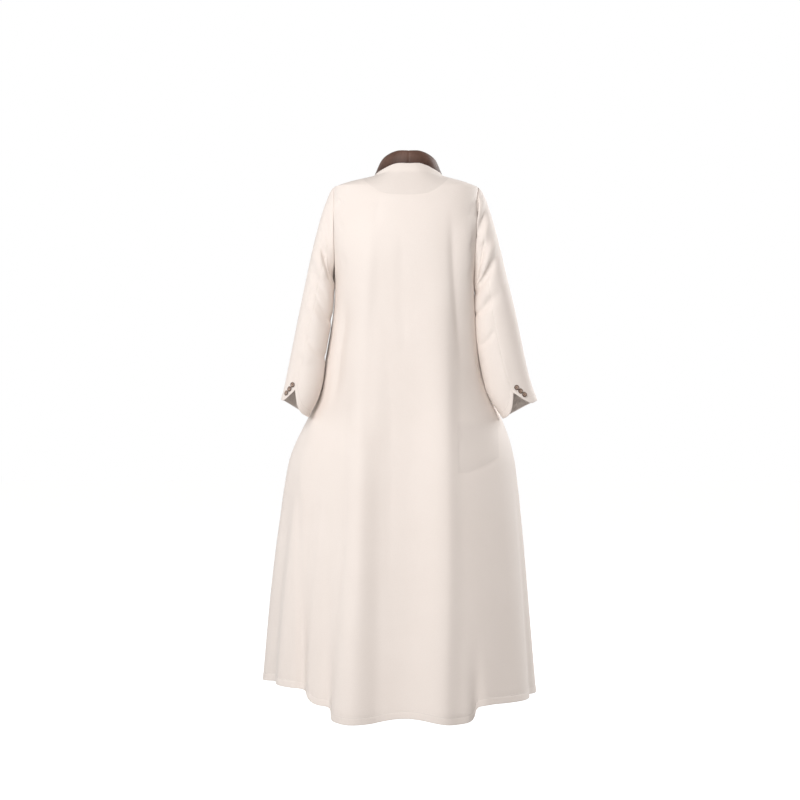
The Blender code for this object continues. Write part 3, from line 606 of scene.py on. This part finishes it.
class Nodes:
    """Short calls for building the nodes of a new material, or of a world, in front of its shader."""

    def __init__(self, name, world=None):
        self.owner = world or bpy.data.materials.new(name)
        self.owner.use_nodes = True
        self.tree = self.owner.node_tree
        self.shader = self.tree.nodes["Background" if world else "Principled BSDF"]
        self.spots = self.add("ShaderNodeTexCoord").outputs

    def fill(self, node, values):
        """Set or link the inputs of a node."""
        for key, value in values.items():
            if isinstance(value, bpy.types.NodeSocket):
                self.tree.links.new(value, node.inputs[key])
            else:
                node.inputs[key].default_value = value
        return node

    def add(self, kind, values=None, **settings):
        node = self.tree.nodes.new(kind)
        for key, value in settings.items():
            setattr(node, key, value)
        return self.fill(node, values or {})

    def math(self, operation, *values):
        return self.add("ShaderNodeMath", dict(enumerate(values)), operation=operation).outputs[0]

    def plus(self, first, second):
        return self.math("ADD", first, second)

    def minus(self, first, second):
        return self.math("SUBTRACT", first, second)

    def times(self, first, second):
        return self.math("MULTIPLY", first, second)

    def split(self, vector):
        return self.add("ShaderNodeSeparateXYZ", {0: vector}).outputs

    def rise(self, value, start, end, low=0.0, high=1.0):
        """low up to start, and high from end on."""
        return self.add("ShaderNodeMapRange", {0: value, 1: start, 2: end, 3: low, 4: high}).outputs[0]

    def band(self, value, middle, half, soft):
        """1 within half of middle, fading to 0 over soft."""
        return self.rise(self.math("ABSOLUTE", self.minus(value, middle)), half, half + soft, 1.0, 0.0)

    def noise(self, place, scale, detail, distortion=0.0):
        values = {"Vector": place, "Scale": scale, "Detail": detail, "Distortion": distortion}
        return self.add("ShaderNodeTexNoise", values).outputs["Fac"]

    def stretched(self, scale):
        """The place on the flat cloth, stretched for a noise of scale 1."""
        return self.add("ShaderNodeMapping", {"Vector": self.spots["UV"], "Scale": (*scale, 1)}).outputs[0]

    def ramp(self, value, start, end, tones):
        """The first tone up to start, and the second from end on."""
        node = self.add("ShaderNodeValToRGB", {0: value})
        for element, place, colour in zip(node.color_ramp.elements, (start, end), tones):
            element.position = place
            element.color = (*colour, 1)
        return node.outputs[0]

    def mix(self, share, first, second):
        values = {"Factor": share, "A": first, "B": second}
        return self.add("ShaderNodeMix", values, data_type="RGBA").outputs["Result"]

    def relief(self, height, strength, distance):
        node = self.add("ShaderNodeBump", {"Height": height, "Strength": strength, "Distance": distance})
        self.fill(self.shader, {"Normal": node.outputs[0]})


# darkest and palest colour of each material
CREPE_TONES = ((0.80, 0.725, 0.672), (0.862, 0.793, 0.742))
SATIN_TONES = ((0.060, 0.030, 0.021), (0.155, 0.084, 0.062))
BUTTON_TONES = ((0.115, 0.068, 0.048), (0.44, 0.32, 0.25))
THREAD_TONES = ((0.10, 0.05, 0.035), (0.21, 0.12, 0.085))

# The neck facing's edge on the back, in metres: middle, half width, foot, rise and its power
FACING_EDGE = (0.008, 0.106, -0.069, 0.042, 3.2)
# The pocket bag on the back: middle, half width, top, foot, where the foot's slant starts, and its slope
POCKET_AREA = (-0.175, 0.052, -0.65, -0.773, 0.15, 0.45)
# Where the back starts, where the painted shade over the facing gets fainter below the collar (painted light
# on the seam allowance there), and how soft edges are
BACK_START = (0.004, 0.012)
FACING_TOP = (-0.009, -0.002)
FACING_SOFT = 0.0015
POCKET_SOFT = 0.003
POCKET_TOP_SOFT = 0.01
FACING_TOP_SHADE_SHARE = 0.25
# strength of the painted shade over the pocket bag, and over both layers
POCKET_SHADE_TONE = 0.7
LAYER_SHADE_TONE = 0.075
STITCH_TONE = 0.16
STITCH_RELIEF = 0.8
STITCH_PITCH = 0.0028
STITCH_HALF = 0.0003
# middle, half length and soft end of a stitch, in shares of the pitch
STITCH_DASH = (0.5, 0.28, 0.1)
HEM_STITCH = 0.0168
EDGE_STITCH = 0.005


def stitches(n, along, away, line):
    """Dashes of thread at a distance from an edge."""
    dash = n.band(n.math("FRACT", n.math("DIVIDE", along, STITCH_PITCH)), *STITCH_DASH)
    return n.times(n.band(away, line, STITCH_HALF, STITCH_HALF), dash)


def layer_shade(n, place):
    """Painted shade on the back where the neck facing and the pocket bag lie below it, fainter just below the
    collar.
    """
    x, y, z = n.split(place)
    behind = n.rise(y, *BACK_START)
    middle, half, foot, rise, power = FACING_EDGE
    across = n.math("POWER", n.math("ABSOLUTE", n.math("DIVIDE", n.minus(x, middle), half)), power)
    above = n.minus(z, n.plus(n.times(across, rise), foot))
    facing = n.times(n.rise(above, 0.0, FACING_SOFT), behind)
    # painted light: the facing's painted shade is cut to a quarter just below the collar, over the seam
    # allowance band
    facing = n.times(facing, n.rise(z, *FACING_TOP, 1.0, FACING_TOP_SHADE_SHARE))
    middle, half, top, foot, start, slope = POCKET_AREA
    slant = n.math("MAXIMUM", n.minus(n.times(x, -1.0), start), 0.0)
    over = n.rise(n.minus(z, n.plus(n.times(slant, slope), foot)), 0.0, POCKET_SOFT)
    under = n.rise(z, top + POCKET_TOP_SOFT, top - POCKET_TOP_SOFT)
    pocket = n.times(n.times(n.band(x, middle, half, POCKET_SOFT), over), n.times(under, behind))
    return n.plus(facing, n.times(pocket, POCKET_SHADE_TONE))


def cloth_material(name, edge_stitch):
    """Fine beige crepe, with the stitches of its hem, and of its free edge where it has one."""
    n = Nodes(name)
    place = n.spots["Object"]
    grain = n.noise(place, 1100.0, 2.0)
    both = n.plus(n.times(n.noise(place, 6.0, 3.0), 0.35), n.times(grain, 0.65))
    colour = n.ramp(both, 0.3, 0.7, CREPE_TONES)
    across, up, _ = n.split(n.spots["UV"])
    stitch = stitches(n, across, up, HEM_STITCH)
    if edge_stitch:
        stitch = n.math("MAXIMUM", stitch, stitches(n, up, across, EDGE_STITCH))
    # painted shade: the back is darkened over the neck facing and the pocket bag, besides the darker stitches
    dark = n.plus(n.times(stitch, STITCH_TONE), n.times(layer_shade(n, place), LAYER_SHADE_TONE))
    tint = n.add("ShaderNodeVectorMath", {0: colour, 3: n.minus(1.0, dark)}, operation="SCALE").outputs[0]
    n.fill(n.shader, {"Base Color": tint, "Roughness": 0.72, "Sheen Weight": 0.15, "Sheen Roughness": 0.45})

    weave = n.add("ShaderNodeTexVoronoi", {"Vector": place, "Scale": 1500.0}).outputs["Distance"]
    puckers = n.times(n.noise(n.stretched((140, 25)), 1.0, 2.0), n.band(up, HEM_STITCH, 0.002, 0.012))
    height = n.plus(n.plus(n.times(weave, 0.15), n.times(grain, 0.25)), n.times(puckers, 3.0))
    n.relief(n.minus(height, n.times(stitch, STITCH_RELIEF)), 0.5, 0.0006)
    return n.owner


def satin_material():
    """Smooth brown satin, with a woven line across, and painted shade that darkens it near its seam."""
    n = Nodes("brown_satin")
    grain = n.noise(n.stretched((250, 2400)), 1.0, 2.0)
    both = n.plus(n.times(n.noise(n.spots["Object"], 40.0, 3.0), 0.5), n.times(grain, 0.5))
    # painted shade: the satin is darkened along the foot of the collar, next to its seam
    both = n.plus(both, n.rise(n.split(n.spots["UV"])["Y"], 0.002, 0.02, -0.25, 0.0))
    colour = n.ramp(both, 0.2, 0.7, SATIN_TONES)
    n.fill(n.shader, {"Base Color": colour, "Roughness": 0.5, "Specular IOR Level": 0.22, "Anisotropic": 0.3,
                      "Sheen Weight": 0.1})
    n.relief(grain, 0.12, 0.0001)
    return n.owner


def button_material():
    """Polished brown with paler swirls, paler in the dished middle than on the rim."""
    n = Nodes("brown_button")
    rim = n.rise(n.split(n.spots["UV"])["X"], 0.0035, 0.0052, 0.0, 0.55)
    tone = n.minus(n.noise(n.spots["Object"], 160.0, 4.0, 1.5), rim)
    colour = n.ramp(tone, 0.0, 0.65, BUTTON_TONES)
    n.fill(n.shader, {"Base Color": colour, "Roughness": 0.28, "Coat Weight": 0.4})
    return n.owner


def thread_material():
    """Twisted brown sewing thread."""
    n = Nodes("brown_thread")
    values = {"Vector": n.spots["Object"], "Scale": 900.0, "Distortion": 2.0}
    twist = n.add("ShaderNodeTexWave", values).outputs["Fac"]
    n.fill(n.shader, {"Base Color": n.ramp(twist, 0.2, 0.8, THREAD_TONES), "Roughness": 0.7})
    n.relief(twist, 0.4, 0.0001)
    return n.owner


cloth = cloth_material("beige_crepe", False)
front_cloth = cloth_material("beige_crepe_front", True)
satin = satin_material()
button_plastic = button_material()
thread = thread_material()

BACK_HALF_COLUMNS = 75
PANEL_ROWS = (44, 64, 186, 16)
FRONT_COLUMNS = 66
SEAM_DIP = 0.9
SEAM_REACH = 2.4
SLEEVE_SEAM_SHARE = 0.6
SEAM_SHARES = [0.984, 0.991, 0.996]
ALLOWANCE_FOOT = -7.5
ALLOWANCE_STEP = 4.0
ALLOWANCE_HEIGHT = 2.0
ALLOWANCE_HALF_WIDTH = 92.0
HEM_WIDTH = 17.0
HEM_REACH = 1.8
HEM_DEPTH = 0.7
HEM_LAYER = 0.5
EDGE_WIDTH = 30.0


def seam_dip(distance):
    """Depth to which cloth is drawn in beside a seam."""
    return SEAM_DIP * np.exp(-((distance / SEAM_REACH) ** 2))


def to_ends(across):
    """Distance to the nearer end of each row."""
    return np.minimum(across, across[:, -1:] - across)


def hem_form(up):
    """Height of the turned hem: a second layer below its stitches, which draw the cloth in."""
    away = (up - HEM_WIDTH) / HEM_REACH
    return HEM_LAYER * (1 - ease(away + 0.5)) - HEM_DEPTH * bump(away)


def raised(grid, height, outward):
    """The grid moved out along its normals."""
    return grid + directions(grid)[2] * outward * np.asarray(height)[..., None]


def back_surface(rows, shares):
    grid = trunk_point(rows, np.abs(shares), np.where(shares >= 0, 1, -1), 1)
    x, z = grid[..., 0], grid[..., 2]
    allowance = ease((z - ALLOWANCE_FOOT) / ALLOWANCE_STEP) * bump(x / ALLOWANCE_HALF_WIDTH)
    return raised(grid, crease_height(BACK_CREASES, x, z) + ALLOWANCE_HEIGHT * allowance, 1)


def back_grid():
    """Grid of the back, with its seams and its hem."""
    half = finer(BACK_HALF_COLUMNS, SEAM_SHARES)
    shares = np.concatenate([-half[:0:-1], half])
    grid = back_surface(trunk_rows(*PANEL_ROWS)[:, None], shares[None, :])
    across, up = distances(grid)
    return raised(grid, hem_form(up) - seam_dip(to_ends(across)), 1)


def front_grid(side):
    """Grid of a front, from its free edge to the side seam."""
    rows = trunk_rows(*PANEL_ROWS)
    start = opening_share(rows, side)[:, None]
    grid = trunk_point(rows[:, None], mix(start, 1, finer(FRONT_COLUMNS, SEAM_SHARES)), side, -1)
    grid = raised(grid, crease_height(FRONT_CREASES[side], grid[..., 0], grid[..., 2]), -side)
    across, up = distances(grid)
    edge = HEM_LAYER * (1 - ease((across - EDGE_WIDTH) / HEM_REACH + 0.5))
    return raised(grid, np.maximum(hem_form(up), edge) - seam_dip(across[:, -1:] - across), -side)


def add_sheet(name, node, grid, outward, wall=CLOTH_WALL, material=cloth):
    mesh = shell_mesh(name, grid, wall, outward, np.stack(distances(grid), -1))
    piece = new_piece(name, mesh, material, node)


SLEEVE_ROWS = 190
SLEEVE_COLUMNS = 78
SLEEVE_CROWDING = 1.4
SLEEVE_SEAM_SHARES = [0.004, 0.01, 0.018, 0.982, 0.99, 0.996]
BEHIND_AT = 0.5
EASE_REACH = 26.0
EASE_HEIGHT = 1.6


def sleeve_surface(side, top):
    """Grid of a sleeve piece: the top one from the fore seam over the outer line, or the under one."""
    across = finer(SLEEVE_COLUMNS, SLEEVE_SEAM_SHARES)[None, :]
    across = 1 - (1 - across) ** SLEEVE_CROWDING if top else across**SLEEVE_CROWDING
    hind = SLEEVES[side][-1, 7]
    ends = (FORE_SEAM, hind) if top else (hind, FORE_SEAM + 360)
    share = cuff_share(side, mix(*ends, across)) * np.linspace(0, 1, SLEEVE_ROWS + 1)[:, None]
    half_depth, seam = read(SLEEVES[side], share)[5:]
    gap = np.degrees(SEAM_GAP / 2 / np.maximum(half_depth, LEAST_RADIUS))
    ends = (FORE_SEAM + gap, seam - gap) if top else (seam + gap, FORE_SEAM + 360 - gap)
    return sleeve_point(side, share, mix(*ends, across))


def sleeve_grid(side, top):
    """The same with creases where it faces back, seams, cuff and the fullness at its head."""
    grid = sleeve_surface(side, top)
    normal = directions(grid)[2] * -side
    inner = np.clip(0.5 - normal[..., 0] * side, 0, 1)
    behind = ease(normal[..., 1] / BEHIND_AT + inner)
    grid = raised(grid, crease_height(SLEEVE_CREASES[side], grid[..., 0], grid[..., 2]) * behind, -side)
    across, up = distances(grid)
    down = up[:1] - up
    fullness = EASE_HEIGHT * bump((down - EASE_REACH / 2) / EASE_REACH)
    dips = np.maximum(seam_dip(to_ends(across)) * SLEEVE_SEAM_SHARE, seam_dip(down))
    return raised(grid, hem_form(up) + fullness - dips, -side)


COLLAR_COLUMNS = (44, 50)
COLLAR_ROWS = 26
COLLAR_SEAM_SHARES = [0.012, 0.03]
COLLAR_BULGE = 0.5
COLLAR_BULGE_POWER = 1.6
COLLAR_LOBE = 1.9
COLLAR_LOBE_TURN = 36.0
COLLAR_LOBE_REACH = 36.0
COLLAR_DROP_SHARE = 0.4
COLLAR_ROLL = 1.0
COLLAR_ROLL_REACH = 3.5


def collar_grid(side):
    """Grid of half the collar, from the centre back seam along the neck edge to the front."""
    back_shares = np.linspace(0, 1, COLLAR_COLUMNS[0], endpoint=False)
    back_shares = np.sort(np.concatenate([back_shares, COLLAR_SEAM_SHARES]))
    front_edge = float(opening_share(np.zeros(1), side)[0])
    front_shares = np.linspace(1, front_edge, COLLAR_COLUMNS[1] + 1)
    back_feet = trunk_point(0, back_shares, side, 1)
    front_feet = trunk_point(0, front_shares, side, -1)
    front_feet[0, 1] = 0
    feet = np.concatenate([back_feet, front_feet])
    feet[0, 0] += side * SEAM_GAP / 2
    turns = np.concatenate([back_shares * 90, 180 - front_shares * 90])
    lean = np.radians(read(COLLAR_LEANS, turns)[0])
    way = np.radians(turns)
    out = np.stack([side * np.sin(way), np.cos(way), 0 * way], -1)
    up = -out * np.sin(lean)[:, None] + np.array([0, 0, 1]) * np.cos(lean)[:, None]
    top = COLLAR_HEIGHT + COLLAR_DROP_SHARE * read(NECK_DROPS, turns)[0]
    share = np.linspace(1, 0, COLLAR_ROWS + 1)[:, None]
    heights = mix(COLLAR_LIFT, top, share)
    lobe = COLLAR_BULGE + COLLAR_LOBE * bump((turns - COLLAR_LOBE_TURN) / COLLAR_LOBE_REACH)
    bulge = lobe * np.sin(np.pi * share**COLLAR_BULGE_POWER)
    roll = COLLAR_ROLL * bump((top - heights) / COLLAR_ROLL_REACH)
    grid = feet[None] + up[None] * heights[..., None] + out[None] * (bulge - roll)[..., None]
    return raised(grid, -seam_dip(to_ends(distances(grid)[0])), side)


LAYER_GAP = 0.5
FACING_ROWS = 40
FACING_COLUMNS = 100
FACING_START_ROW = 0.05
FACING_END_ROW = 2.0
FACING_END_SHARE = 0.97


def facing_grid():
    rows = np.linspace(FACING_START_ROW, FACING_END_ROW, FACING_ROWS)[:, None]
    shares = np.linspace(-FACING_END_SHARE, FACING_END_SHARE, FACING_COLUMNS)[None, :]
    return raised(back_surface(rows, shares), -(CLOTH_WALL / 2 + LAYER_GAP + FACING_WALL / 2), 1)


POCKET_SHARES = (-0.93, -0.286)
POCKET_TOP = -625.0
POCKET_FOOT = -776.0
POCKET_SEAM_FOOT = -735.0
POCKET_SLANT_END = 0.6
POCKET_CORNER = 34.0
POCKET_CORNER_START = 0.8
POCKET_GRID = (46, 50)


def pocket_grid():
    """The pocket bag under the back panel: straight at the seam, rounded at its far lower corner."""
    across = np.linspace(0, 1, POCKET_GRID[1])[None, :]
    shares = mix(*POCKET_SHARES, across)
    foot = mix(POCKET_SEAM_FOOT, POCKET_FOOT, np.minimum(across / POCKET_SLANT_END, 1))
    corner = np.maximum((across - POCKET_CORNER_START) / (1 - POCKET_CORNER_START), 0)
    foot = foot + POCKET_CORNER * corner**2
    level = mix(POCKET_TOP, foot, np.linspace(0, 1, POCKET_GRID[0])[:, None])
    hem = trunk_point(TRUNK_STEPS + 0 * shares, np.abs(shares), -1 + 0 * shares, 1)[..., 2]
    row = UNDERARM_ROW + SKIRT_STEPS * (level - UNDERARM_LEVEL) / (hem - UNDERARM_LEVEL)
    return raised(back_surface(row, shares), -(CLOTH_WALL / 2 + 2 * LAYER_GAP + POCKET_WALL / 2), 1)


# radius and height of a button's turned profile; its face holds four holes
BUTTON_PROFILE = np.array([
    (0, 1.9), (0.35, 1.9), (0.7, 1.9), (1.0, 1.9), (1.3, 1.9), (1.6, 1.9), (1.9, 1.92), (2.2, 1.96),
    (2.6, 2.02), (3.2, 2.1), (3.8, 2.35), (4.3, 2.7), (4.8, 2.95), (5.3, 3.05), (5.8, 2.95), (6.15, 2.65),
    (6.35, 2.2), (6.4, 1.6), (6.35, 1.0), (6.1, 0.5), (5.7, 0.15), (5.2, 0.02), (3.0, 0.0), (0, 0.0),
])
BUTTON_STEPS = 64
BUTTON_FACE_RADIUS = 4.0
BUTTONS_AT = 0.9
HOLE_PLACE = 1.15
HOLE_RADIUS = 0.55
HOLE_DEPTH = 1.3
THREAD_RADIUS = 0.3
THREAD_RISE = 0.35
THREAD_BEND = 1.6
THREAD_BEND_POWER = 6
THREAD_STEPS = 10
THREAD_SIDES = 8


def ring_faces(first, rings, sides):
    """Faces between rings of points that are numbered from first."""
    faces = []
    for one in range(first, first + (rings - 1) * sides, sides):
        for step in range(sides):
            after = (step + 1) % sides
            faces.append((one + step, one + sides + step, one + sides + after, one + after))
    return faces


def turned_mesh(name):
    """The button round its own Z axis, its face up."""
    angle = np.linspace(0, 2 * np.pi, BUTTON_STEPS, endpoint=False)
    radii, heights = BUTTON_PROFILE[1:-1, :1], BUTTON_PROFILE[1:-1, 1:]
    x, y = radii * np.cos(angle), radii * np.sin(angle)
    away = np.hypot(np.abs(x) - HOLE_PLACE, np.abs(y) - HOLE_PLACE)
    face = (heights > HOLE_DEPTH) & (radii < BUTTON_FACE_RADIUS)
    z = heights - HOLE_DEPTH * ease(2 * (1 - away / HOLE_RADIUS)) * face
    verts = [tuple(v) for v in np.stack([x, y, z], -1).reshape(-1, 3) * MM]
    top, foot = len(verts), len(verts) + 1
    verts += [(0, 0, BUTTON_PROFILE[0, 1] * MM), (0, 0, 0)]
    faces = ring_faces(0, len(radii), BUTTON_STEPS)
    last = top - BUTTON_STEPS
    for step in range(BUTTON_STEPS):
        after = (step + 1) % BUTTON_STEPS
        faces += [(top, step, after), (foot, last + after, last + step)]
    mesh = new_mesh(name, verts, faces)
    layer = mesh.uv_layers.new(name="radius")
    for loop in mesh.loops:
        x, y, z = verts[loop.vertex_index]
        layer.data[loop.index].uv = (math.hypot(x, y), z)
    return mesh


def thread_tubes(start):
    """Two crossed strands of thread between the holes, as points and faces numbered from start."""
    verts, faces = [], []
    for way in (1, -1):
        first = start + len(verts)
        aside = Vector((-way, 1, 0)).normalized()
        for step in range(THREAD_STEPS + 1):
            share = 2 * step / THREAD_STEPS - 1
            height = BUTTON_PROFILE[0, 1] + THREAD_RISE * (1 + way / 3)
            height -= THREAD_BEND * abs(share) ** THREAD_BEND_POWER
            middle = Vector((share * HOLE_PLACE, way * share * HOLE_PLACE, height))
            for side in range(THREAD_SIDES):
                turn = 2 * math.pi * side / THREAD_SIDES
                spoke = aside * math.cos(turn) + Vector((0, 0, 1)) * math.sin(turn)
                verts.append(middle + spoke * THREAD_RADIUS)
        faces += ring_faces(first, THREAD_STEPS + 1, THREAD_SIDES)
        last = first + THREAD_STEPS * THREAD_SIDES
        faces.append(tuple(range(first, first + THREAD_SIDES)))
        faces.append(tuple(range(last + THREAD_SIDES - 1, last - 1, -1)))
    return verts, faces


def add_buttons():
    """A button on each of the solids, facing out from its sleeve, and all the threads in one piece."""
    thread_points, thread_faces = [], []
    for name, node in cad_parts.items():
        if not name.startswith("cuff_button"):
            continue
        side = 1 if "left" in name else -1
        points = np.array([node.matrix_world @ v.co for v in node.data.vertices]) / MM
        middle = points.mean(0)
        axis = np.linalg.svd(points - middle)[2][2]
        outer_x, outer_level, inner_x, inner_level, centre_y = read(SLEEVES[side], BUTTONS_AT)[:5]
        core = np.array([side * (outer_x + inner_x) / 2, centre_y, (outer_level + inner_level) / 2])
        axis = axis * np.sign(np.dot(axis, middle - core))
        seat = middle + axis * ((points - middle) @ axis).min()
        turn = Vector(axis).to_track_quat("Z", "Y").to_matrix().to_4x4()
        place = Matrix.Translation(Vector(seat) * MM) @ turn
        mesh = turned_mesh(name.removeprefix("cuff_"))
        mesh.transform(place)
        new_piece(mesh.name, mesh, button_plastic, name)
        verts, faces = thread_tubes(len(thread_points))
        thread_points += [place @ (v * MM) for v in verts]
        thread_faces += faces
    new_piece("button_threads", new_mesh("button_threads", thread_points, thread_faces), thread)


add_sheet("back_panel", "back", back_grid(), 1)
for side, word in ((1, "left"), (-1, "right")):
    add_sheet(f"front_panel_{word}", f"front_{word}", front_grid(side), -side, material=front_cloth)
    for part in ("top", "under"):
        grid = sleeve_grid(side, part == "top")
        add_sheet(f"{part}_sleeve_{word}", f"sleeve_{word}_{part}", grid, -side)
    name, node = f"stand_collar_{word}", f"collar_{word}"
    add_sheet(name, node, collar_grid(side), side, COLLAR_WALL, satin)
add_sheet("facing_of_neck", "neck_facing", facing_grid(), 1, FACING_WALL)
add_sheet("bag_of_pocket", "pocket_bag", pocket_grid(), 1, POCKET_WALL)
add_buttons()

# Stage, camera and light
FLOOR_LEVEL = -1.545
CAMERA_X = 0.022
CAMERA_DISTANCE = 3.9
CAMERA_LEVEL = -0.59
FRAME_WIDTH = 2.08
SENSOR = 36.0
FLOOR_HALF = 14.0
FLOOR_GLOW = 0.82
WHITE = (1.0, 1.0, 1.0, 1.0)
WARM = (1.0, 0.90, 0.83, 1.0)
GREY = (0.5, 0.5, 0.5, 1.0)
STUDIO_STRENGTH = 0.44
OVERHEAD_STRENGTH = 0.26
# where the light gets weaker on the way up, and warmer from front to back
OVERHEAD_REACH = (0.3, 0.95)
WARM_REACH = (-0.3, 0.5)

# name, place, target, width and height, power, colour
LIGHTS = [
    ("key", (1.15, 2.95, 1.0), (0, 0, -0.45), (1.9, 2.0), 97, (0.99, 0.992, 1.0)),
    ("front_key", (-2.7, -1.9, 0.75), (0, 0, -0.6), (1.4, 1.6), 98, (1.0, 1.0, 1.0)),
    ("left_fill", (2.9, -1.3, 0.1), (0, 0, -0.7), (1.4, 1.6), 22, (1.0, 1.0, 1.0)),
]


def add_floor():
    ways = ((-1, -1), (1, -1), (1, 1), (-1, 1))
    corners = [(x * FLOOR_HALF, y * FLOOR_HALF, FLOOR_LEVEL) for x, y in ways]
    floor = new_object("floor", new_mesh("floor", corners, [(0, 1, 2, 3)]))
    n = Nodes("pale_floor")
    glow = n.times(n.add("ShaderNodeLightPath").outputs["Is Camera Ray"], FLOOR_GLOW)
    n.fill(n.shader, {"Base Color": GREY, "Roughness": 0.9})
    n.fill(n.shader, {"Emission Color": WHITE, "Emission Strength": glow})
    floor.data.materials.append(n.owner)


def add_camera():
    data = bpy.data.cameras.new("camera")
    data.sensor_width = SENSOR
    data.lens = SENSOR * CAMERA_DISTANCE / FRAME_WIDTH
    data.clip_end = 100
    camera = new_object("camera", data)
    camera.location = (CAMERA_X, CAMERA_DISTANCE, CAMERA_LEVEL)
    camera.rotation_euler = (math.radians(90), 0, math.radians(180))
    bpy.context.scene.camera = camera


def add_light(name, place, target, size, power, colour):
    data = bpy.data.lights.new(name, "AREA")
    data.shape = "RECTANGLE"
    data.size, data.size_y = size
    data.energy = power
    data.color = colour
    light = new_object(name, data)
    light.location = place
    light.rotation_euler = (Vector(target) - Vector(place)).to_track_quat("-Z", "Y").to_euler()


def add_world():
    """A pale studio: white behind the object, with softer light that is warmer from behind."""
    n = Nodes("studio", bpy.data.worlds.new("studio"))
    _, y, z = n.split(n.spots["Generated"])
    seen = n.add("ShaderNodeLightPath").outputs["Is Camera Ray"]
    warm = n.mix(n.rise(y, *WARM_REACH), WHITE, WARM)
    strength = n.rise(z, *OVERHEAD_REACH, STUDIO_STRENGTH, OVERHEAD_STRENGTH)
    n.fill(n.shader, {"Color": n.mix(seen, warm, WHITE), "Strength": n.rise(seen, 0.0, 1.0, strength, 1.0)})
    bpy.context.scene.world = n.owner


add_floor()
add_camera()
add_world()
for light in LIGHTS:
    add_light(*light)
bpy.context.scene.view_settings.view_transform = "Standard"
